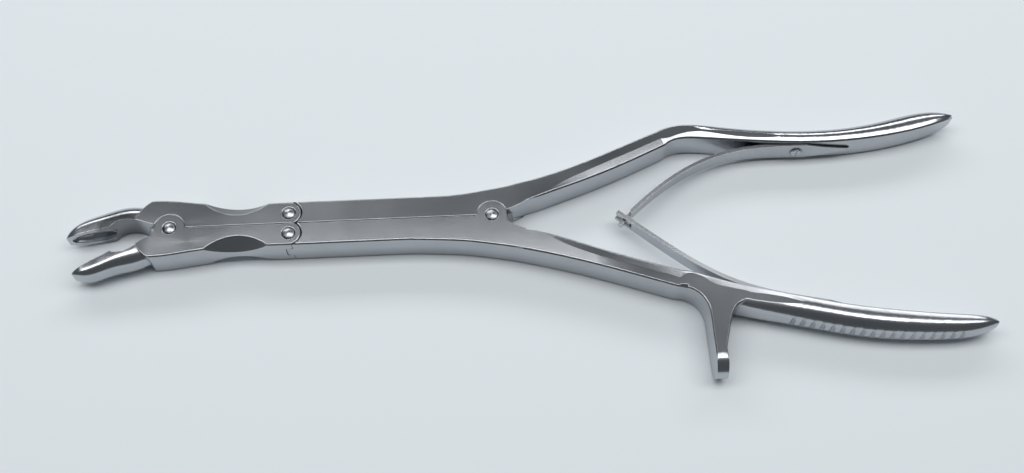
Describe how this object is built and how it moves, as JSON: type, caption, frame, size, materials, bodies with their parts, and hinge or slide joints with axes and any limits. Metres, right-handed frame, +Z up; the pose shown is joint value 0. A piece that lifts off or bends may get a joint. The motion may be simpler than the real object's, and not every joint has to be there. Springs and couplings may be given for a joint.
{
  "type": "double-action rongeur",
  "caption": "Double-action bone rongeur: two cupped jaws linked to two sprung handles, one with a finger spur and a ribbed grip.",
  "frame": {"origin": "on the axis of the main pivot between the handles, at the face the instrument lies on", "axes": "+X from the jaws towards the grips, +Y towards the handle without the spur, +Z up through the thickness"},
  "size_m": [0.2413, 0.0745, 0.0094],
  "materials": {
    "satin_steel": "satin, lightly polished",
    "turned_steel": "turned pin ends and screw heads",
    "spring_steel": "fine-ground spring strip"
  },
  "bodies": {
    "lower_grip": {"lower_handle": "satin_steel", "main_pivot_pin": "turned_steel", "lower_leaf_spring": "spring_steel", "lower_spring_screw": "turned_steel"},
    "upper_grip": {"upper_handle": "satin_steel", "upper_leaf_spring": "spring_steel", "upper_spring_screw": "turned_steel"},
    "upper_bite": {"upper_jaw": "satin_steel", "upper_link_pin": "turned_steel"},
    "lower_bite": {"lower_jaw": "satin_steel", "jaw_pivot_pin": "turned_steel", "lower_link_pin": "turned_steel"}
  },
  "joints": [
    {"name": "main_pivot", "type": "hinge", "parent": "lower_grip", "child": "upper_grip", "pos_m": [0, 0, 0], "axis": [0, 0, -1], "range_deg": [0, 12.3], "stiffness_Nm_per_rad": 5, "springref_deg": -3.44, "deforming": ["upper_leaf_spring", "lower_leaf_spring"]},
    {"name": "upper_link", "type": "hinge", "parent": "upper_grip", "child": "upper_bite", "pos_m": [-0.0532, 0.0029, 0], "axis": [0, 0, 1], "range_deg": [0, 16.85]},
    {"name": "lower_link", "type": "hinge", "parent": "lower_grip", "child": "lower_bite", "pos_m": [-0.0532, -0.0029, 0], "axis": [0, 0, -1], "range_deg": [0, 16.85]}
  ],
  "couplings": [
    {"joint": "upper_link", "follows": "main_pivot", "ratio": 1.369},
    {"joint": "lower_link", "follows": "main_pivot", "ratio": 1.369}
  ]
}
